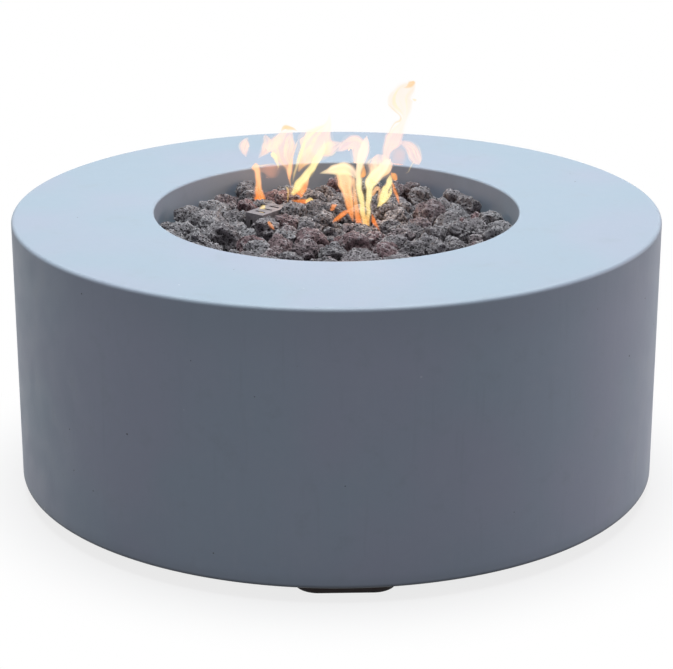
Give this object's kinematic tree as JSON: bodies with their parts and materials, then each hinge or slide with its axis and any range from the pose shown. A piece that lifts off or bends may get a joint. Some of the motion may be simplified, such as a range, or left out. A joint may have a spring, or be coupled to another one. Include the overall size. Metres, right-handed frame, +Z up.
{
  "type": "gas fire pit table",
  "caption": "Round concrete gas fire pit table: a low drum with a sunken bowl of lava rock over a ring burner, and its controls in a niche at the back.",
  "frame": {"origin": "on the ground, at the centre of the table", "axes": "+Z up, -Y towards the plain front, +Y towards the back with the control niche, +X to the right seen from the front"},
  "size_m": [0.864, 0.8639, 0.375],
  "materials": {
    "concrete": "smooth cast concrete, light blue-grey",
    "foot_pad": "dark brown-black moulded pad",
    "stainless": "brushed stainless steel",
    "steel": "plain stainless fasteners and brackets",
    "iron": "black malleable iron",
    "zinc": "zinc-plated steel",
    "brass": "turned brass",
    "die_casting": "die-cast aluminium",
    "copper": "bare copper",
    "thermocouple_steel": "heat-stained steel",
    "hose": "black gas hose",
    "knob": "black moulded plastic",
    "pointer": "white inlay",
    "button": "red moulded plastic",
    "cell": "battery cell in a plain jacket",
    "wire": "silicone insulated wire",
    "ceramic": "white glazed ceramic",
    "lava": "dark porous lava rock"
  },
  "bodies": {
    "root": {"concrete_shell": "concrete", "foot_front": "foot_pad", "foot_right": "foot_pad", "foot_back": "foot_pad", "foot_left": "foot_pad", "foot_screws": "steel", "foot_inserts": "brass", "control_panel": "stainless", "panel_screws": "steel", "burner_pan": "stainless", "burner": "stainless", "burner_legs": "stainless", "burner_leg_screws": "steel", "burner_locknut": "zinc", "burner_elbow": "iron", "air_mixer": "zinc", "gas_jet": "brass", "burner_tube_nut": "brass", "burner_tube": "die_casting", "valve_outlet_nut": "brass", "valve_body": "die_casting", "valve_bonnet": "die_casting", "valve_screws": "steel", "safety_magnet": "zinc", "thermocouple_nut": "brass", "thermocouple_lead": "copper", "thermocouple": "thermocouple_steel", "inlet_bracket": "steel", "inlet_bracket_screws": "steel", "gas_inlet": "brass", "inlet_locknut": "brass", "supply_tube": "hose", "igniter_body": "knob", "igniter_nut": "knob", "igniter_terminal": "steel", "terminal_boot": "wire", "ignition_wire": "wire", "electrode_boot": "wire", "electrode_insulator": "ceramic", "electrode": "steel", "ignition_bracket": "steel", "ignition_bracket_screws": "steel", "ignition_cage": "stainless", "lava_rocks": "lava"},
    "valve_plug": {"valve_plug": "brass"},
    "knob": {"valve_stem": "brass", "stem_spring": "steel", "control_knob": "knob", "knob_pointer": "pointer"},
    "igniter_cap": {"igniter_cap": "knob"},
    "igniter_button": {"igniter_button": "button", "contact_spring": "steel"},
    "battery": {"battery": "cell"},
    "air_shutter": {"air_shutter": "zinc"}
  },
  "joints": [
    {"name": "valve_turn", "type": "hinge", "parent": "root", "child": "valve_plug", "pos_m": [-0.042, 0.366, 0.19], "axis": [0, 1, 0], "range_deg": [0, 150]},
    {"name": "knob_push", "type": "slide", "parent": "valve_plug", "child": "knob", "axis": [0, -1, 0], "range_m": [0, 0.004], "stiffness_N_per_m": 800, "springref_m": -0.004, "deforming": ["stem_spring"]},
    {"name": "cap_off", "type": "slide", "parent": "root", "child": "igniter_cap", "axis": [0, 1, 0], "range_m": [0, 0.06]},
    {"name": "battery_out", "type": "slide", "parent": "root", "child": "battery", "axis": [0, 1, 0], "range_m": [0, 0.054]},
    {"name": "button_push", "type": "slide", "parent": "igniter_cap", "child": "igniter_button", "axis": [0, -1, 0], "range_m": [0, 0.003], "stiffness_N_per_m": 500, "springref_m": -0.003, "deforming": ["contact_spring"]},
    {"name": "air_adjust", "type": "hinge", "parent": "root", "child": "air_shutter", "pos_m": [0, 0.062, 0.249], "axis": [0, 1, 0], "range_deg": [0, 45]}
  ],
  "couplings": [
    {"joint": "battery_out", "follows": "cap_off", "ratio": 0.9}
  ]
}
